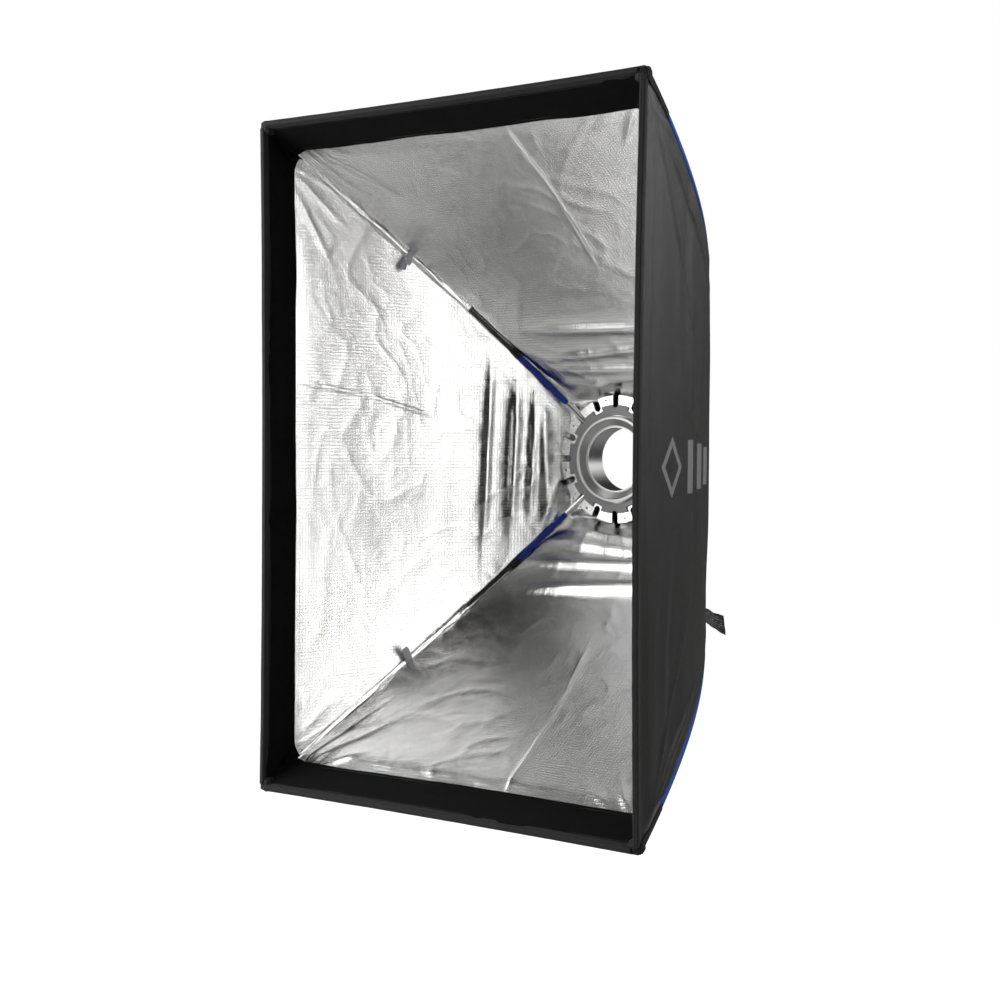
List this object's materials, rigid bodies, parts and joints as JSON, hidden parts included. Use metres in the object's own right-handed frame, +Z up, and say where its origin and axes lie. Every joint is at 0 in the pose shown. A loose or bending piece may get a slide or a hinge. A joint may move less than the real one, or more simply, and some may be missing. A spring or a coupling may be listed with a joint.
{
  "type": "rectangular softbox",
  "caption": "Rectangular softbox: a bowed black fabric shell with silver lining on spring rods, set in a rotating speedring with a bayonet insert.",
  "frame": {"origin": "centre of the bayonet bore, on the insert face that rests against the lamp", "axes": "+Y back along the light axis into the lamp, so the open front faces -Y; +Z up along the long side; +X to the right seen from the front"},
  "size_m": [0.5984, 0.4721, 0.906],
  "materials": {
    "insert_metal": "turned, clear anodised",
    "collar_metal": "turned with a polished bevel",
    "spring_steel": "bright spring steel",
    "ring_metal": "machined, bright silver",
    "cover_metal": "bead blasted, grey anodised",
    "rod_coating": "black coated spring rod",
    "ferrule_steel": "bright turned steel",
    "cap_plastic": "moulded black",
    "navy_cloth": "dark blue nylon sleeve",
    "silver_lining": "silver coated ripstop, wrinkled",
    "black_webbing": "folded black binding tape",
    "blue_tape": "royal blue seam tape",
    "grey_webbing": "grey loop tape",
    "black_cloth": "black nylon with a slight sheen",
    "hook_and_loop": "matte black loop pile",
    "label_cloth": "woven black label with plain grey bars"
  },
  "bodies": {
    "insert": {"mount_insert": "insert_metal", "front_collar": "collar_metal", "wave_washer": "spring_steel"},
    "softbox": {"speedring": "ring_metal", "ring_cover": "cover_metal", "care_label": "label_cloth", "rod_top_left": "rod_coating", "rod_ferrule_top_left": "ferrule_steel", "rod_tip_cap_top_left": "cap_plastic", "rod_sleeve_top_left": "navy_cloth", "rod_channel_top_left": "silver_lining", "corner_pocket_top_left": "black_webbing", "seam_tape_top_left": "blue_tape", "tie_tab_top_left": "grey_webbing", "rod_top_right": "rod_coating", "rod_ferrule_top_right": "ferrule_steel", "rod_tip_cap_top_right": "cap_plastic", "rod_sleeve_top_right": "navy_cloth", "rod_channel_top_right": "silver_lining", "corner_pocket_top_right": "black_webbing", "seam_tape_top_right": "blue_tape", "tie_tab_top_right": "grey_webbing", "rod_bottom_left": "rod_coating", "rod_ferrule_bottom_left": "ferrule_steel", "rod_tip_cap_bottom_left": "cap_plastic", "rod_sleeve_bottom_left": "navy_cloth", "rod_channel_bottom_left": "silver_lining", "corner_pocket_bottom_left": "black_webbing", "seam_tape_bottom_left": "blue_tape", "tie_tab_bottom_left": "grey_webbing", "rod_bottom_right": "rod_coating", "rod_ferrule_bottom_right": "ferrule_steel", "rod_tip_cap_bottom_right": "cap_plastic", "rod_sleeve_bottom_right": "navy_cloth", "rod_channel_bottom_right": "silver_lining", "corner_pocket_bottom_right": "black_webbing", "seam_tape_bottom_right": "blue_tape", "tie_tab_bottom_right": "grey_webbing", "panel_left": "black_cloth", "lining_left": "silver_lining", "front_band_left": "hook_and_loop", "edge_binding_left": "black_webbing", "panel_right": "black_cloth", "lining_right": "silver_lining", "front_band_right": "hook_and_loop", "edge_binding_right": "black_webbing", "panel_top": "black_cloth", "lining_top": "silver_lining", "front_band_top": "hook_and_loop", "edge_binding_top": "black_webbing", "panel_bottom": "black_cloth", "lining_bottom": "silver_lining", "front_band_bottom": "hook_and_loop", "edge_binding_bottom": "black_webbing"},
    "flap_left": {"rear_flap_left": "black_cloth"},
    "flap_right": {"rear_flap_right": "black_cloth"},
    "flap_top": {"rear_flap_top": "black_cloth"},
    "flap_bottom": {"rear_flap_bottom": "black_cloth"}
  },
  "joints": [
    {"name": "ring_rotation", "type": "hinge", "parent": "insert", "child": "softbox", "pos_m": [0, 0, 0], "axis": [0, 1, 0], "continuous": true},
    {"name": "flap_right_fold", "type": "hinge", "parent": "softbox", "child": "flap_right", "pos_m": [0.0864, -0.0047, 0], "axis": [0, 0, -1], "range_deg": [0, 110]},
    {"name": "flap_left_fold", "type": "hinge", "parent": "softbox", "child": "flap_left", "pos_m": [-0.0864, -0.0047, 0], "axis": [0, 0, 1], "range_deg": [0, 110]},
    {"name": "flap_top_fold", "type": "hinge", "parent": "softbox", "child": "flap_top", "pos_m": [0, -0.0047, 0.0864], "axis": [1, 0, 0], "range_deg": [0, 110]},
    {"name": "flap_bottom_fold", "type": "hinge", "parent": "softbox", "child": "flap_bottom", "pos_m": [0, -0.0047, -0.0864], "axis": [-1, 0, 0], "range_deg": [0, 110]}
  ]
}
